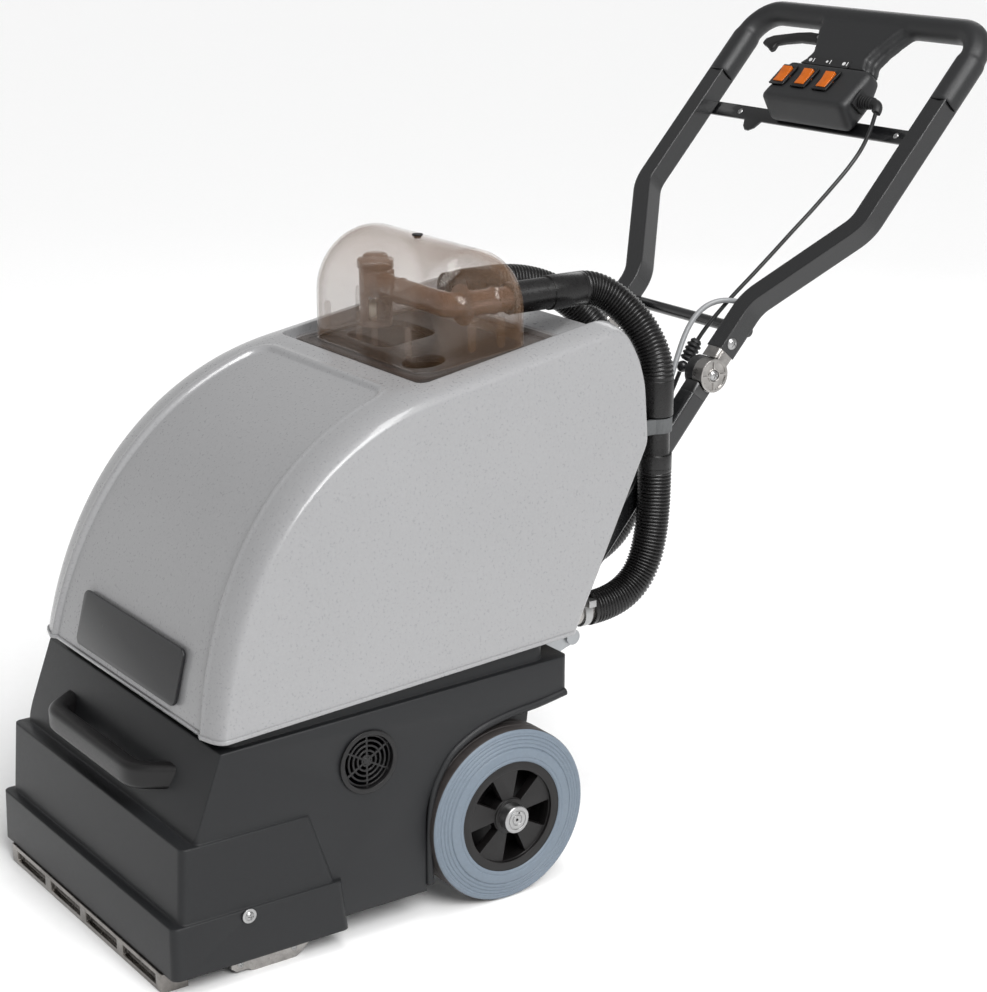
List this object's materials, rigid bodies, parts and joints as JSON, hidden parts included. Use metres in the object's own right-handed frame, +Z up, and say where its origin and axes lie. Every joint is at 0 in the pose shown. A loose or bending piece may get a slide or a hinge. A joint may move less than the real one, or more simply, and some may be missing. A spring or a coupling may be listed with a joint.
{
  "type": "carpet cleaner machine",
  "caption": "Upright wheeled carpet extractor with a folding handle, clear dome, suction hoses, orange rocker switches and a brush under a tall cover.",
  "frame": {"origin": "centre of the footprint on the floor, under the bounding box", "axes": "+Z up, -Y towards the front and its shoe, +X towards the machine's right side with the near hose"},
  "size_m": [0.462, 1.1329, 0.9327],
  "materials": {
    "grey_body": "fine moulded grain",
    "cover_grey": "fine moulded grain",
    "black_plastic": "satin",
    "steel": "plain",
    "bright_steel": "bright zinc",
    "cast_alloy": "die-cast",
    "motor_paint": "satin",
    "pump_paint": "satin",
    "black_rubber": "matte",
    "tyre_grey": "matte with rings",
    "brush_bristle": "bristle",
    "badge_blank": "satin",
    "tinted_clear": "tinted clear plastic",
    "brown_plastic": "satin",
    "hose_black": "satin, ribbed",
    "float_cream": "plain",
    "strap_grey": "woven",
    "cable_black": "matte",
    "line_grey": "satin",
    "tube_paint": "satin powder coat",
    "hinge_dark": "blackened casting",
    "grip_grey": "soft grain",
    "orange_rocker": "glossy"
  },
  "bodies": {
    "body": {"base_housing": "grey_body", "chassis": "steel", "carry_handle": "black_plastic", "side_vents": "black_plastic", "body_screws": "bright_steel", "vacuum_shoe": "cast_alloy", "suction_duct": "steel", "brush_deck": "cast_alloy", "brush_motor": "motor_paint", "drive_belt": "black_rubber", "spray_bar": "black_plastic", "pump": "pump_paint", "vacuum_motor": "steel", "axle": "steel", "axle_caps": "bright_steel", "cover_shell": "cover_grey", "badge_plate": "badge_blank", "recovery_tank": "black_plastic", "dome_seal": "black_rubber", "upper_hose": "hose_black", "far_hose": "hose_black", "lower_hose": "hose_black", "hose_coupling": "hose_black", "hose_strap": "strap_grey", "hose_clamp": "bright_steel", "cable_tail": "cable_black", "lower_tube_right": "tube_paint", "lower_tube_left": "tube_paint", "hinge_lower_halves": "hinge_dark", "frame_shaft": "bright_steel", "solution_line": "line_grey"},
    "wheel_right": {"tyre_right": "tyre_grey", "hub_right": "black_plastic"},
    "wheel_left": {"tyre_left": "tyre_grey", "hub_left": "black_plastic"},
    "handle": {"upper_tube_right": "tube_paint", "upper_tube_left": "tube_paint", "hinge_upper_halves": "cast_alloy", "handle_fasteners": "bright_steel", "lower_crossbar": "tube_paint", "upper_crossbar": "tube_paint", "grip": "grip_grey", "switch_box": "grip_grey", "switch_bezels": "black_plastic", "strain_reliefs": "cable_black", "control_cable": "cable_black"},
    "switch_left": {"rocker_left": "orange_rocker"},
    "switch_middle": {"rocker_middle": "orange_rocker"},
    "switch_right": {"rocker_right": "orange_rocker"},
    "trigger": {"trigger_lever": "black_plastic"},
    "brush": {"brush_roller": "brush_bristle", "brush_shaft": "steel", "brush_pulley": "steel"},
    "drive_pulley": {"motor_pulley": "steel"},
    "dome_unit": {"dome": "tinted_clear", "dome_plug": "black_rubber", "inlet_pipe": "brown_plastic", "hose_cuffs": "hose_black", "float_cage": "brown_plastic"},
    "float": {"float_ball": "float_cream"}
  },
  "joints": [
    {"name": "wheel_spin_right", "type": "hinge", "parent": "body", "child": "wheel_right", "pos_m": [0.2, -0.14946, 0.1], "axis": [1, 0, 0], "continuous": true},
    {"name": "wheel_spin_left", "type": "hinge", "parent": "body", "child": "wheel_left", "pos_m": [-0.2, -0.14946, 0.1], "axis": [1, 0, 0], "continuous": true},
    {"name": "handle_fold", "type": "hinge", "parent": "body", "child": "handle", "pos_m": [0, 0.20854, 0.53], "axis": [1, 0, 0], "range_deg": [-40, 70], "deforming": ["solution_line"]},
    {"name": "rocker_left_tilt", "type": "hinge", "parent": "handle", "child": "switch_left", "pos_m": [-0.06, 0.46489, 0.84486], "axis": [-1, 0, 0], "range_deg": [0, 14]},
    {"name": "rocker_middle_tilt", "type": "hinge", "parent": "handle", "child": "switch_middle", "pos_m": [-0.021, 0.46489, 0.84486], "axis": [-1, 0, 0], "range_deg": [0, 14]},
    {"name": "rocker_right_tilt", "type": "hinge", "parent": "handle", "child": "switch_right", "pos_m": [0.018, 0.46489, 0.84486], "axis": [-1, 0, 0], "range_deg": [0, 14]},
    {"name": "trigger_pull", "type": "hinge", "parent": "handle", "child": "trigger", "pos_m": [-0.056, 0.5257, 0.88225], "axis": [0, 0.7431, -0.6691], "range_deg": [0, 8], "stiffness_Nm_per_rad": 1.2, "springref_deg": -8.59},
    {"name": "brush_spin", "type": "hinge", "parent": "body", "child": "brush", "pos_m": [0, -0.43946, 0.046], "axis": [1, 0, 0], "continuous": true},
    {"name": "motor_spin", "type": "hinge", "parent": "body", "child": "drive_pulley", "pos_m": [0, -0.34546, 0.152], "axis": [1, 0, 0], "continuous": true},
    {"name": "dome_lift", "type": "slide", "parent": "body", "child": "dome_unit", "axis": [0, 0, 1], "range_m": [0, 0.05], "deforming": ["upper_hose", "far_hose"]},
    {"name": "float_rise", "type": "slide", "parent": "dome_unit", "child": "float", "axis": [0, 0, 1], "range_m": [0, 0.02]}
  ],
  "couplings": [
    {"joint": "motor_spin", "follows": "brush_spin", "ratio": 1.75}
  ]
}
